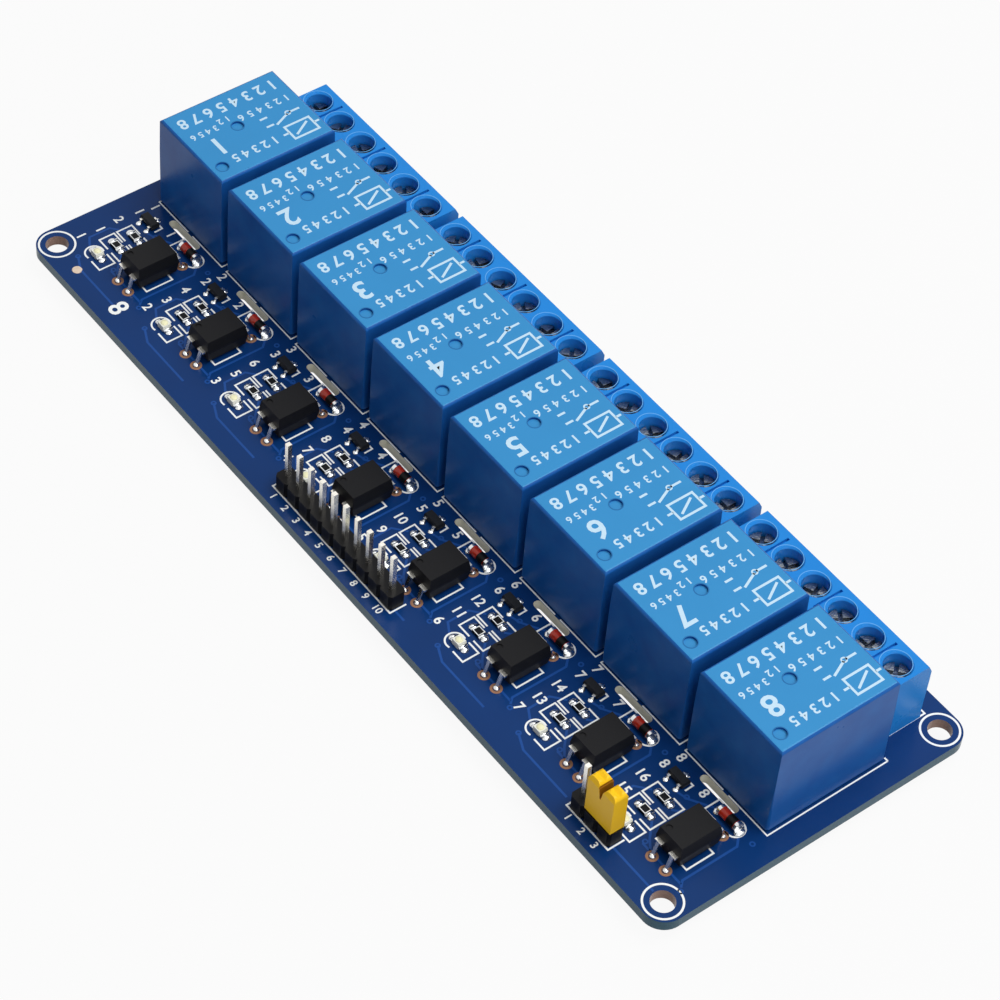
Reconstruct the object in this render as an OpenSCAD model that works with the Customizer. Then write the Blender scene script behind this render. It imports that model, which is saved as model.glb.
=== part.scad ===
// Relay module board with eight sugar-cube relays, an optocoupler input stage for each
// relay, twelve two-pole screw terminal blocks, a ten-pin header and a jumpered
// three-pin header.
//
// Frame: +X runs along the board from relay 1 to relay 8, +Y points to the screw
// terminals and +Z is up. The origin is the centre of the four mounting holes, on the
// underside of the circuit board. All sizes are millimetres.

/* [Circuit board] */
// Length of the board
board_l = 138.6; // [136.6:0.2:146]
// Width of the board
board_w = 50.2; // [50:0.2:60]
// Thickness of the board
board_t = 1.6; // [1:0.1:2.4]
// Radius of the board's corners
board_r = 3; // [1:0.25:4]
// Diameter of the mounting holes
mount_d = 3.2; // [2.5:0.1:3.6]
// Centre of a mounting hole to the end of the board
mount_edge_x = 3; // [2.4:0.1:3.4]
// Centre of a mounting hole to the side of the board
mount_edge_y = 2.9; // [2.6:0.1:3.4]
// How far the trimmed leads stand out under the board
lead_out = 2; // [1.4:0.1:3]

/* [Relays] */
// Distance between the centres of neighbouring relays
relay_pitch = 16.6; // [16:0.1:17]
// Width of a relay, along the board
relay_w = 15.4; // [15:0.1:15.8]
// Length of a relay, across the board
relay_l = 19.1; // [18.8:0.1:19.6]
// Height of a relay above the board
relay_h = 15.3; // [15:0.1:20]
// Wall of the relay cover
cover_wall = 0.8; // [0.6:0.1:1]
// Thickness of the top of the relay cover
cover_top = 0.9; // [0.7:0.1:1.2]
// Radius of the cover's edges
cover_r = 0.45; // [0.2:0.05:0.5]
// How far each side of the cover leans in over its height
cover_draft = 0.2; // [0.05:0.05:0.3]
// Diameter of the two round dimples in the cover's top
dimple_d = 1.8; // [1:0.1:2.4]
// Depth of the dimples
dimple_depth = 0.35; // [0.1:0.05:0.5]
// Gap between the board and the underside of a relay
relay_standoff = 0.3; // [0.2:0.05:0.5]
// Thickness of the relay's base plate
base_t = 1.3; // [1:0.1:1.6]
// Gap between the relays and the terminal blocks
relay_gap = 0.5; // [0.3:0.1:0.8]

/* [Relay mechanism] */
// Diameter of the iron core
core_d = 3.8; // [3:0.1:4.4]
// Diameter of the pole head on the core
pole_d = 6.6; // [5.4:0.1:7.4]
// Thickness of the pole head
pole_t = 0.7; // [0.5:0.1:1]
// Outer diameter of the copper winding
coil_d = 9.6; // [8:0.1:9.9]
// Wall of the bobbin tube
bobbin_wall = 0.5; // [0.4:0.05:0.7]
// Thickness of the bobbin flanges
flange_t = 0.7; // [0.5:0.1:1]
// Thickness of the L-shaped yoke
yoke_t = 1.2; // [0.9:0.1:1.4]
// Width of the yoke and the armature
yoke_w = 8; // [6:0.1:9]
// Thickness of the armature plate
armature_t = 1; // [0.8:0.1:1.1]
// Angle that the armature swings between open and closed
armature_swing = 2.5; // [1.5:0.1:2.6]
// Thickness of the contact blade
blade_t = 0.2; // [0.15:0.05:0.3]
// Width of the contact blade
blade_w = 3; // [2.2:0.1:4]
// Diameter of the contacts
contact_d = 1.8; // [1.2:0.1:2]
// Height of a contact button
contact_h = 0.4; // [0.3:0.05:0.5]
// Thickness of the relay's strip terminals
strip_t = 0.4; // [0.3:0.05:0.5]
// Width of the relay's strip terminals
strip_w = 1; // [0.8:0.05:1.1]
// Air gap left between moving and fixed iron, and at open contacts' rest
iron_gap = 0.05; // [0.04:0.01:0.08]

/* [Isolation slots] */
// Length of the milled slot in front of each relay
slot_l = 6.7; // [4:0.1:8]
// Width of the slot
slot_w = 1.2; // [0.8:0.1:1.4]
// Gap between the slot and the relay
slot_gap = 0.35; // [0.2:0.05:0.5]

/* [Screw terminals] */
// Distance between neighbouring poles
pole_pitch = 5.08; // [5:0.01:5.12]
// Gap between the groups of blocks
group_gap = 1.62; // [1.4:0.02:2.4]
// Height of a block above the board
term_h = 10.4; // [10:0.1:12]
// Depth of a block, across the board
term_depth = 7.6; // [7.4:0.1:8]
// Outer face of the blocks to the side of the board
term_edge = 3.6; // [3.5:0.1:5]
// Chamfer along the top outer edge
term_chamfer = 0.6; // [0.3:0.05:0.8]
// Screw axis to the outer face
term_screw_in = 3.55; // [3.4:0.05:3.8]
// Diameter of the screw wells
well_d = 3.7; // [3.5:0.05:3.8]
// Width of the chamfer at the mouth of a well
well_rim = 0.2; // [0.1:0.05:0.25]
// How far the screw heads lie below the top
screw_sink = 1.7; // [1.2:0.1:2.2]
// Diameter of the screw heads
screw_head_d = 3.4; // [3.1:0.05:3.45]
// Height of the screw heads
screw_head_h = 1.6; // [1.2:0.1:1.8]
// Diameter of the screw threads
screw_d = 2.6; // [2.2:0.1:3]
// Width of the driver slot in a screw head
screw_slot = 0.6; // [0.4:0.05:0.8]
// Outer width of a clamp cage
cage_w = 4; // [3.8:0.05:4.1]
// Length of a clamp cage, in the wire's direction
cage_l = 4.2; // [3.8:0.1:4.4]
// Wall of a clamp cage
cage_t = 0.6; // [0.5:0.05:0.7]
// Width of a wire entry
wire_w = 3.4; // [3:0.1:3.6]
// Height of a wire entry
wire_h = 4.1; // [3.6:0.1:4.3]
// Thickness of the contact plate that the wire is pressed to
plate_t = 0.8; // [0.6:0.05:0.9]
// Width of the contact plate
plate_w = 2.4; // [2:0.1:2.6]
// Thickness of the floor under a clamp cage
term_floor = 1; // [0.8:0.1:1.2]

/* [Pin headers] */
// Distance between neighbouring header pins
pin_pitch = 2.54; // [2.5:0.01:2.6]
// Side of a square header pin
pin_s = 0.64; // [0.5:0.02:0.7]
// Height of the header pins above the board
pin_h = 8.6; // [8:0.1:9.6]
// Height of the header's plastic strip
strip_h = 2.5; // [2:0.1:2.8]
// Centre line of the headers to the front edge of the board
header_edge = 3.5; // [3.3:0.1:4]
// Centre of the ten-pin header along the board
header_10_x = -0.2; // [-4:0.1:4]
// Centre of the three-pin header along the board
header_3_x = 52.8; // [46:0.1:54]

/* [Jumper] */
// Length of the jumper cap
jumper_l = 4.9; // [4.7:0.05:5]
// Width of the jumper cap
jumper_w = 2.2; // [2.1:0.05:2.5]
// Height of the jumper cap
jumper_h = 6.7; // [6.2:0.1:7.4]
// Depth of the notch between the cap's two ridges
jumper_notch = 2.3; // [1:0.1:2.4]
// Thickness of the jumper's contact clip
clip_t = 0.2; // [0.15:0.05:0.25]

/* [Small parts] */
// Length of an optocoupler body, across its lead rows
opto_l = 6.5; // [6.2:0.1:6.6]
// Width of an optocoupler body
opto_w = 4.6; // [4.4:0.1:4.8]
// Thickness of an optocoupler body
opto_t = 3.5; // [3:0.1:3.8]
// Gap under an optocoupler
opto_lift = 0.6; // [0.4:0.1:1]
// Distance between an optocoupler's two rows of leads at the board
opto_row = 8.8; // [8.4:0.1:9]
// Length of a chip resistor or LED
chip_l = 2; // [1.8:0.1:2.2]
// Width of a chip resistor or LED
chip_w = 1.25; // [1.1:0.05:1.4]
// Height of a chip resistor
chip_h = 0.5; // [0.4:0.05:0.6]
// Height of an LED
led_h = 0.9; // [0.8:0.05:1.2]
// Length of a glass diode
diode_l = 3.5; // [3.3:0.1:3.7]
// Diameter of a glass diode's end caps
diode_d = 1.5; // [1.3:0.05:1.6]
// Length of a transistor body
sot_l = 2.9; // [2.7:0.1:3]
// Width of a transistor body
sot_w = 1.3; // [1.2:0.05:1.4]
// Height of a transistor above the board
sot_h = 1.05; // [0.9:0.05:1.2]

/* [Hidden] */
channels = 8;
groups = 4;
blocks_per_group = 3;
poles = 2;
poles_per_group = blocks_per_group * poles;
blocks = groups * blocks_per_group;
header_pins = 10;
jumper_pins = 3;
eps = 0.01;
$fn = 40;

// Places across the board, from its back edge forward
term_out_y = board_w / 2 - term_edge;
term_back_y = term_out_y - term_depth;
term_screw_y = term_out_y - term_screw_in;
relay_y = term_back_y - relay_gap - relay_l / 2;
relay_front_y = relay_y - relay_l / 2;
slot_y = relay_front_y - slot_gap - slot_w / 2;
header_y = -board_w / 2 + header_edge;

// Small parts: places from the relay's centre line, and as shares of the bay
// between the relays and the headers
bay_d = relay_front_y - header_y;
diode_at = [3.85, relay_front_y - 0.166 * bay_d];
sot_at = [-4.45, relay_front_y - 0.233 * bay_d];
opto_at = [3.7, relay_front_y - 0.57 * bay_d];
led_at = [-3.3, relay_front_y - 0.822 * bay_d];
resistors_at = [[-3.25, relay_front_y - 0.439 * bay_d], [-3.25, relay_front_y - 0.628 * bay_d]];

// Mounting holes
mount_dx = board_l - 2 * mount_edge_x;
mount_dy = board_w - 2 * mount_edge_y;

// Inside of the relay cover
cavity_w = relay_w - 2 * cover_wall;
cavity_l = relay_l - 2 * cover_wall;
cavity_r = 0.4;
cavity_z = relay_h - cover_top;
dimples_at = [[-0.6, -1.2], [relay_w / 2 - 2.7, 2.05 - relay_l / 2]];

// Relay pins, from the relay's centre: common, coil, normally open, normally closed
com_pin_y = -relay_l / 2 + 2.2;
coil_pin_y = com_pin_y + 2;
throw_pin_y = relay_l / 2 - 2.7;
side_pin_x = 6;
relay_hole_d = 1.5;

// Places across a relay, from its centre
hinge_y = com_pin_y + strip_t / 2;
yoke_in_y = hinge_y + yoke_t;
flange_w = 2 * side_pin_x - strip_w;
flange_l = 10.2;
core_y = yoke_in_y + 0.3 + flange_l / 2;
armature_l = core_y + pole_d / 2 + 1 - hinge_y;
yoke_foot_l = core_y + core_d / 2 + 1.5 - hinge_y;

// Heights inside a relay, above the board, from the cover's ceiling down
nc_strip_z = cavity_z - 0.3 - strip_t;
nc_face_z = nc_strip_z - contact_h;
contact_rise = (throw_pin_y - hinge_y) * tan(armature_swing);
contact_tilt = contact_d / 2 * tan(armature_swing);
contact_total = 2 * contact_h + blade_t;
contact_top_z = nc_face_z - iron_gap - contact_tilt - contact_rise;
blade_z = contact_top_z - contact_h - blade_t;
armature_z = blade_z - armature_t;
hinge_z = armature_z - iron_gap;
no_face_z = contact_top_z - contact_total - iron_gap;
no_strip_z = no_face_z - contact_h - strip_t;
base_top_z = relay_standoff + base_t;
bobbin_z = base_top_z + yoke_t;
bobbin_h = hinge_z - pole_t - bobbin_z;

// Terminal blocks
block_w = poles * pole_pitch;
block_shoulder = 3;
group_w = poles_per_group * pole_pitch;
chamber_w = cage_w + 0.1;
chamber_l = cage_l + 0.5;
cage_z = term_floor + 0.1;
cage_h = term_h - screw_sink - screw_head_h - 1.1 - cage_z;
chamber_top_z = cage_z + cage_h + 0.3;
screw_tip_z = cage_z + cage_h - cage_t - 0.2;
plate_z = screw_tip_z - plate_t;
leg_t = 0.8;
leg_y = term_screw_y - chamber_l / 2 - leg_t / 2;
rib_w = 1;
rib_t = 0.6;
rib_y = term_back_y + 0.5 + rib_w / 2;
term_hole_d = 1.5;
header_hole_d = 1.02;
opto_hole_d = 0.9;

// Optocoupler leads
opto_pitch = 2.54;
opto_band = 0.3;
opto_draft = 0.25;
opto_mid_z = opto_lift + opto_t / 2;
lead_t = 0.25;
lead_w = 0.5;
shoulder_w = 1.2;
shoulder_l = 0.55;

// Solder cones under the board
solder_h = 1.1;
solder_tip_d = 0.4;

// Jumper
jumper_gap = 0.05;
pin_in_cap = pin_h - strip_h - jumper_gap;
ridge_r = 0.7;
clip_h = jumper_h - jumper_notch - 0.6;
clip_gap = 0.03;

function channel_x(k) = (k - (channels + 1) / 2) * relay_pitch;
function group_x(g) = (g - (groups - 1) / 2) * (group_w + group_gap);
function pole_x(g, i) = group_x(g) + (i - (poles_per_group - 1) / 2) * pole_pitch;
function block_group(b) = floor((b - 1) / blocks_per_group);
function block_x(b) = pole_x(block_group(b), ((b - 1) % blocks_per_group) * poles) + pole_pitch / 2;
function header_x(x, n, i) = x + (i - (n - 1) / 2) * pin_pitch;

// ---- Helpers ----

// Centred rectangle with true arcs at its corners
module round_rect(w, l, r) {
    square([w - 2 * r, l], center = true);
    square([w, l - 2 * r], center = true);
    for (x = [-1, 1], y = [-1, 1])
        translate([x * (w / 2 - r), y * (l / 2 - r)])
            circle(r);
}

// Side view of a moulded cover: leaning sides and rounded top edges
module cover_side(w, h, draft, r) {
    polygon([[-w / 2, 0], [w / 2, 0], [w / 2 - draft, h - r], [w / 2 - draft - r, h],
        [-w / 2 + draft + r, h], [-w / 2 + draft, h - r]]);
    for (x = [-1, 1])
        translate([x * (w / 2 - draft - r), h - r])
            circle(r);
}

// Extrudes a side view drawn in Y and Z along X, centred
module along_x(l) {
    rotate([90, 0, 90])
        translate([0, 0, -l / 2])
            linear_extrude(l)
                children();
}

// Extrudes a side view drawn in X and Z along Y, centred
module along_y(l) {
    rotate([90, 0, 0])
        translate([0, 0, -l / 2])
            linear_extrude(l)
                children();
}

// Box centred in X and Y that stands on z
module post(w, l, z, h) {
    translate([-w / 2, -l / 2, z])
        cube([w, l, h]);
}

// Moves its children to the centre of relay k, on top of the board
module at_relay(k) {
    translate([channel_x(k), relay_y, board_t])
        children();
}

// Moves its children to a small part's place in channel k
module at_channel(k, place) {
    translate([channel_x(k) + place[0], place[1], board_t])
        children();
}

// Repeats its children at every screw terminal pole, on top of the board
module at_poles() {
    for (g = [0 : groups - 1], i = [0 : poles_per_group - 1])
        translate([pole_x(g, i), 0, board_t])
            children();
}

// Repeats its children along a header
module at_header(x, n) {
    for (i = [0 : n - 1])
        translate([header_x(x, n, i), header_y, 0])
            children();
}

// Repeats its children at the four leads of the optocoupler in channel k
module at_opto_leads(k) {
    at_channel(k, opto_at)
        for (x = [-1, 1], y = [-1, 1])
            translate([x * opto_pitch / 2, 0, 0])
                scale([1, y, 1])
                    children();
}

// ---- Circuit board ----

module hole(d) {
    translate([0, 0, -eps])
        cylinder(h = board_t + 2 * eps, d = d);
}

module relay_holes(k) {
    translate([channel_x(k), relay_y, 0]) {
        translate([0, com_pin_y, 0]) hole(relay_hole_d);
        for (x = [-1, 1], y = [coil_pin_y, throw_pin_y])
            translate([x * side_pin_x, y, 0]) hole(relay_hole_d);
    }
}

module isolation_slot(k) {
    translate([channel_x(k), slot_y, -eps])
        linear_extrude(board_t + 2 * eps)
            round_rect(slot_l, slot_w, slot_w / 2 - eps);
}

module circuit_board() {
    color("#17407f")
        difference() {
            linear_extrude(board_t)
                round_rect(board_l, board_w, board_r);
            for (x = [-1, 1], y = [-1, 1])
                translate([x * mount_dx / 2, y * mount_dy / 2, 0]) hole(mount_d);
            for (k = [1 : channels]) {
                relay_holes(k);
                isolation_slot(k);
                translate([channel_x(k) + opto_at[0], opto_at[1], 0])
                    for (x = [-1, 1], y = [-1, 1])
                        translate([x * opto_pitch / 2, y * opto_row / 2, 0]) hole(opto_hole_d);
            }
            translate([0, leg_y, -board_t]) at_poles() hole(term_hole_d);
            at_header(header_10_x, header_pins) hole(header_hole_d);
            at_header(header_3_x, jumper_pins) hole(header_hole_d);
        }
}

// ---- Relays ----

// Open-bottomed cover with leaning walls, rounded edges and two dimples in its top
module relay_cover(k) {
    cover_h = relay_h - relay_standoff;
    color("#2f7fcf")
        at_relay(k)
            difference() {
                translate([0, 0, relay_standoff])
                    intersection() {
                        linear_extrude(cover_h)
                            round_rect(relay_w, relay_l, cover_r);
                        along_y(relay_l + 1)
                            cover_side(relay_w, cover_h, cover_draft, cover_r);
                        along_x(relay_w + 1)
                            cover_side(relay_l, cover_h, cover_draft, cover_r);
                    }
                linear_extrude(cavity_z)
                    round_rect(cavity_w, cavity_l, cavity_r);
                for (at = dimples_at)
                    translate([at[0], at[1], relay_h - dimple_depth])
                        cylinder(h = 1, d = dimple_d);
            }
}

// One flat lead through the base plate and the board
module relay_lead(x, y, top) {
    translate([x, y, 0])
        post(strip_w, strip_t, -board_t - lead_out, board_t + lead_out + top);
}

// Base plate that closes the cover, with a foot at each corner
module relay_base() {
    foot = 1.4;
    difference() {
        union() {
            translate([0, 0, relay_standoff])
                linear_extrude(base_t)
                    round_rect(cavity_w, cavity_l, cavity_r);
            for (x = [-1, 1], y = [-1, 1])
                translate([x * (cavity_w / 2 - foot), y * (cavity_l / 2 - foot), 0])
                    post(foot, foot, 0, relay_standoff + eps);
        }
        relay_lead(0, com_pin_y, relay_h);
        for (x = [-1, 1], y = [coil_pin_y, throw_pin_y])
            relay_lead(x * side_pin_x, y, relay_h);
    }
}

// L-shaped iron frame: a foot under the bobbin and a leg up to the armature
module relay_yoke() {
    difference() {
        translate([-yoke_w / 2, hinge_y, base_top_z])
            union() {
                cube([yoke_w, yoke_foot_l, yoke_t]);
                cube([yoke_w, yoke_t, hinge_z - base_top_z]);
            }
        translate([0, core_y, base_top_z - eps])
            cylinder(h = yoke_t + 2 * eps, d = core_d);
    }
}

// Iron core with its pole head, riveted into the yoke's foot
module relay_core() {
    translate([0, core_y, base_top_z]) {
        cylinder(h = hinge_z - base_top_z, d = core_d);
        translate([0, 0, hinge_z - base_top_z - pole_t])
            cylinder(h = pole_t, d = pole_d);
    }
}

// Moulded spool around the core
module relay_bobbin() {
    translate([0, core_y, bobbin_z])
        difference() {
            union() {
                cylinder(h = bobbin_h, d = core_d + 2 * bobbin_wall);
                post(flange_w, flange_l, 0, flange_t);
                post(flange_w, flange_l, bobbin_h - flange_t, flange_t);
            }
            translate([0, 0, -eps])
                cylinder(h = bobbin_h + 2 * eps, d = core_d);
        }
}

// Copper winding between the flanges
module relay_coil() {
    translate([0, core_y, bobbin_z + flange_t])
        difference() {
            cylinder(h = bobbin_h - 2 * flange_t, d = coil_d);
            translate([0, 0, -eps])
                cylinder(h = bobbin_h, d = core_d + 2 * bobbin_wall);
        }
}

// Armature plate with its riveted contact blade, held open against the upper contact
module relay_armature(k) {
    color("silver")
        at_relay(k)
            translate([0, hinge_y, hinge_z])
                rotate([armature_swing, 0, 0])
                    translate([0, -hinge_y, -hinge_z]) {
                        translate([-yoke_w / 2, hinge_y, armature_z])
                            cube([yoke_w, armature_l, armature_t]);
                        translate([-blade_w / 2, hinge_y + 1, blade_z])
                            cube([blade_w, throw_pin_y + contact_d / 2 + 0.4 - hinge_y - 1, blade_t]);
                        translate([0, throw_pin_y, contact_top_z - contact_total])
                            cylinder(h = contact_total, d = contact_d);
                    }
}

// Common terminal: a lead that runs up the back of the yoke
module relay_common_terminal() {
    relay_lead(0, com_pin_y, hinge_z - 0.6);
}

// Fixed contact on a strip that reaches from a side lead to the middle
module fixed_contact(side, strip_z, contact_z) {
    reach = side_pin_x + strip_w / 2;
    relay_lead(side * side_pin_x, throw_pin_y, strip_z + strip_t);
    translate([0, throw_pin_y, 0]) {
        translate([side * (reach - contact_d / 2) / 2, 0, 0])
            post(reach + contact_d / 2, contact_d, strip_z, strip_t);
        translate([0, 0, contact_z])
            cylinder(h = contact_h, d = contact_d);
    }
}

module relay_coil_pin_pair() {
    for (x = [-1, 1])
        relay_lead(x * side_pin_x, coil_pin_y, bobbin_z + flange_t);
}

module relay_bases() { color("#2b2f36") for (k = [1 : channels]) at_relay(k) relay_base(); }
module relay_yokes() { color("silver") for (k = [1 : channels]) at_relay(k) relay_yoke(); }
module relay_cores() { color("#b8b8b4") for (k = [1 : channels]) at_relay(k) relay_core(); }
module relay_bobbins() { color("ivory") for (k = [1 : channels]) at_relay(k) relay_bobbin(); }
module relay_coils() { color("#b5651d") for (k = [1 : channels]) at_relay(k) relay_coil(); }

module relay_common_terminals() {
    color("#c9c2a8") for (k = [1 : channels]) at_relay(k) relay_common_terminal();
}

module relay_open_terminals() {
    color("#c9c2a8")
        for (k = [1 : channels])
            at_relay(k)
                fixed_contact(-1, no_strip_z, no_strip_z + strip_t);
}

module relay_closed_terminals() {
    color("#c9c2a8") for (k = [1 : channels]) at_relay(k) fixed_contact(1, nc_strip_z, nc_face_z);
}

module relay_coil_pins() {
    color("#c9c2a8") for (k = [1 : channels]) at_relay(k) relay_coil_pin_pair();
}

// ---- Screw terminals ----

// Side view of a block: upright back, chamfered top edges and a small ledge at its foot
module block_side() {
    back_chamfer = 0.3;
    bulge = 0.15;
    bulge_z = 1.2;
    polygon([[term_back_y, 0], [term_out_y, 0], [term_out_y - bulge, bulge_z],
        [term_out_y, term_h - block_shoulder],
        [term_out_y, term_h - 2 * term_chamfer], [term_out_y - term_chamfer, term_h],
        [term_back_y + back_chamfer, term_h], [term_back_y, term_h - back_chamfer]]);
}

// Spaces of one pole: screw well, clamp chamber, wire entry and the contact's slot
module pole_spaces() {
    translate([0, term_screw_y, 0]) {
        translate([0, 0, chamber_top_z - 1])
            cylinder(h = term_h, d = well_d);
        translate([0, 0, term_h - well_rim])
            cylinder(h = well_rim + eps, d1 = well_d, d2 = well_d + 2 * well_rim + 2 * eps);
        post(chamber_w, chamber_l, term_floor, chamber_top_z - term_floor);
    }
    translate([-wire_w / 2, term_screw_y, term_floor + cage_t])
        cube([wire_w, term_depth, wire_h]);
    translate([0, leg_y, 0])
        post(plate_w, leg_t, -eps, plate_z + plate_t + eps);
}

// Two-pole block with a dovetail rib at its left end and the matching groove at its right
module terminal_block(b) {
    rib_h = term_h - block_shoulder;
    groove_w = 0.4;
    groove_depth = 0.5;
    groove_back = 1.5;
    groove_front = 1.4;
    color("#1f6fd0")
        translate([block_x(b), 0, board_t])
            difference() {
                union() {
                    along_x(block_w)
                        block_side();
                    translate([-block_w / 2 - rib_t, rib_y - rib_w / 2, 0])
                        cube([rib_t + eps, rib_w, rib_h]);
                }
                for (i = [0 : poles - 1])
                    translate([(i - (poles - 1) / 2) * pole_pitch, 0, 0])
                        pole_spaces();
                translate([block_w / 2 - rib_t, rib_y - rib_w / 2, -eps])
                    cube([rib_t + eps, rib_w, rib_h + eps]);
                translate([-groove_w / 2, term_back_y + groove_back, term_h - groove_depth])
                    cube([groove_w, term_depth - groove_back - groove_front, groove_depth + 1]);
            }
}

// Slotted screw of a pole; its tip bears on the contact plate
module terminal_screw(turn) {
    slot_depth = 0.8;
    head_z = term_h - screw_sink - screw_head_h;
    translate([0, term_screw_y, 0])
        difference() {
            union() {
                translate([0, 0, screw_tip_z])
                    cylinder(h = head_z - screw_tip_z, d = screw_d);
                translate([0, 0, head_z])
                    cylinder(h = screw_head_h, d = screw_head_d);
            }
            for (a = [0, 90])
                rotate([0, 0, turn + a])
                    post(screw_head_d + 1, screw_slot, head_z + screw_head_h - slot_depth, 1);
        }
}

// Clamp cage: a square tube that the screw pulls up against the contact plate
module terminal_cage() {
    translate([0, term_screw_y, cage_z])
        difference() {
            post(cage_w, cage_l, 0, cage_h);
            post(cage_w - 2 * cage_t, cage_l + 1, cage_t, cage_h - 2 * cage_t);
            cylinder(h = cage_h + 1, d = screw_d + 2 * clip_gap);
        }
}

// Contact plate inside the cage, its leg and the pin through the board
module terminal_pin() {
    pin_w = 1;
    plate_end_y = term_screw_y + cage_l / 2 - 0.4;
    translate([-plate_w / 2, leg_y + leg_t / 2, plate_z])
        cube([plate_w, plate_end_y - leg_y - leg_t / 2, plate_t]);
    translate([0, leg_y, 0]) {
        post(plate_w, leg_t, 0, plate_z + plate_t);
        post(pin_w, leg_t, -board_t - lead_out, board_t + lead_out);
    }
}

module terminal_screws() {
    turn_step = 37;
    color("#c8cacc")
        for (g = [0 : groups - 1], i = [0 : poles_per_group - 1])
            translate([pole_x(g, i), 0, board_t])
                terminal_screw(turn_step * (g * poles_per_group + i));
}

module terminal_cages() { color("#9fa3a6") at_poles() terminal_cage(); }
module terminal_pins() { color("#c9c2a8") at_poles() terminal_pin(); }

// ---- Input stage ----

// Side view of a moulded package: leaning flanks that meet in a narrow upright band
module package_side(w, h, band, draft) {
    polygon([[-w / 2 + draft, 0], [w / 2 - draft, 0], [w / 2, (h - band) / 2], [w / 2, (h + band) / 2],
        [w / 2 - draft, h], [-w / 2 + draft, h], [-w / 2, (h + band) / 2], [-w / 2, (h - band) / 2]]);
}

module package(w, l, h, band, draft) {
    intersection() {
        along_x(w + 1)
            package_side(l, h, band, draft);
        along_y(l + 1)
            package_side(w, h, band, draft);
    }
}

module optocoupler() {
    translate([0, 0, opto_lift])
        difference() {
            package(opto_w, opto_l, opto_t, opto_band, opto_draft);
            translate([-opto_w / 2 + 1, -opto_l / 2 + 1, opto_t - 0.15])
                cylinder(h = 1, d = 0.9);
        }
}

// Splayed lead from the package's side down into the board
module opto_lead() {
    shoulder_y = opto_l / 2 + shoulder_l;
    translate([-shoulder_w / 2, opto_l / 2, opto_mid_z - lead_t / 2])
        cube([shoulder_w, shoulder_l, lead_t]);
    along_x(lead_w)
        polygon([[shoulder_y - lead_t, opto_mid_z], [shoulder_y, opto_mid_z],
            [opto_row / 2 + lead_t / 2, 0], [opto_row / 2 + lead_t / 2, -board_t - lead_out],
            [opto_row / 2 - lead_t / 2, -board_t - lead_out], [opto_row / 2 - lead_t / 2, 0]]);
}

// Ceramic chip with slightly thicker plated ends
module chip_resistor() {
    end_l = 0.35;
    skin = 0.03;
    post(chip_l - end_l, chip_w - 2 * skin, skin, chip_h - 2 * skin);
    for (x = [-1, 1])
        translate([x * (chip_l - end_l) / 2, 0, 0])
            post(end_l, chip_w, 0, chip_h);
}

// Chip LED: a flat carrier with a clear block on it
module led() {
    carrier_h = 0.35;
    lens_l = 1.3;
    post(chip_l, chip_w, 0, carrier_h);
    translate([0, 0, carrier_h])
        along_y(chip_w)
            polygon([[-lens_l / 2 - 0.1, 0], [lens_l / 2 + 0.1, 0], [lens_l / 2, led_h - carrier_h],
                [-lens_l / 2, led_h - carrier_h]]);
}

module transistor() {
    translate([0, 0, 0.1])
        package(sot_l, sot_w, sot_h - 0.1, 0.2, 0.1);
}

// Gull-wing lead: out of the package, down and along the board
module transistor_lead() {
    mid_z = 0.1 + (sot_h - 0.1) / 2;
    t = 0.15;
    out = sot_w / 2;
    along_x(0.4)
        polygon([[out, mid_z - t / 2], [out + 0.2, mid_z - t / 2], [out + 0.25, 0], [out + 0.7, 0],
            [out + 0.7, t], [out + 0.4, t], [out + 0.35, mid_z + t / 2], [out, mid_z + t / 2]]);
}

module transistor_lead_set() {
    lead_pitch = 1.9;
    transistor_lead();
    for (x = [-1, 1])
        translate([x * lead_pitch / 2, 0, 0])
            scale([1, -1, 1])
                transistor_lead();
}

// Glass tube of a diode, lying along the board
module diode() {
    cap_l = 0.45;
    translate([-diode_l / 2 + cap_l, 0, diode_d / 2])
        rotate([0, 90, 0])
            cylinder(h = diode_l - 2 * cap_l, d = diode_d - 0.1);
}

module diode_cap_pair() {
    cap_l = 0.45;
    for (x = [-diode_l / 2, diode_l / 2 - cap_l])
        translate([x, 0, diode_d / 2])
            rotate([0, 90, 0])
                cylinder(h = cap_l, d = diode_d);
}

module optocouplers() { color("#2a2a2a") for (k = [1 : channels]) at_channel(k, opto_at) optocoupler(); }
module optocoupler_leads() { color("#c9c2a8") for (k = [1 : channels]) at_opto_leads(k) opto_lead(); }
module leds() { color("#f4f4ee") for (k = [1 : channels]) at_channel(k, led_at) led(); }
module transistors() { color("#2f3033") for (k = [1 : channels]) at_channel(k, sot_at) transistor(); }
module diodes() { color("#a8352c") for (k = [1 : channels]) at_channel(k, diode_at) diode(); }
module diode_caps() { color("silver") for (k = [1 : channels]) at_channel(k, diode_at) diode_cap_pair(); }

module transistor_leads() {
    color("silver") for (k = [1 : channels]) at_channel(k, sot_at) transistor_lead_set();
}

module chip_resistors() {
    color("#26272b")
        for (k = [1 : channels], at = resistors_at)
            at_channel(k, at)
                chip_resistor();
}

// ---- Pin headers ----

// Plastic strip of cells with cut corners, each round one square pin
module header_strip(x, n) {
    cut = 0.4;
    h = pin_pitch / 2;
    color("#1c1c1e")
        translate([0, 0, board_t])
            linear_extrude(strip_h)
                difference() {
                    at_header(x, n)
                        polygon([[-h, -h + cut], [-h + cut, -h], [h - cut, -h], [h, -h + cut],
                            [h, h - cut], [h - cut, h], [-h + cut, h], [-h, h - cut]]);
                    at_header(x, n)
                        square(pin_s, center = true);
                }
}

module header_pins(x, n) {
    color("#d8d2bc")
        at_header(x, n)
            post(pin_s, pin_s, -lead_out, lead_out + board_t + pin_h);
}

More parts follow.
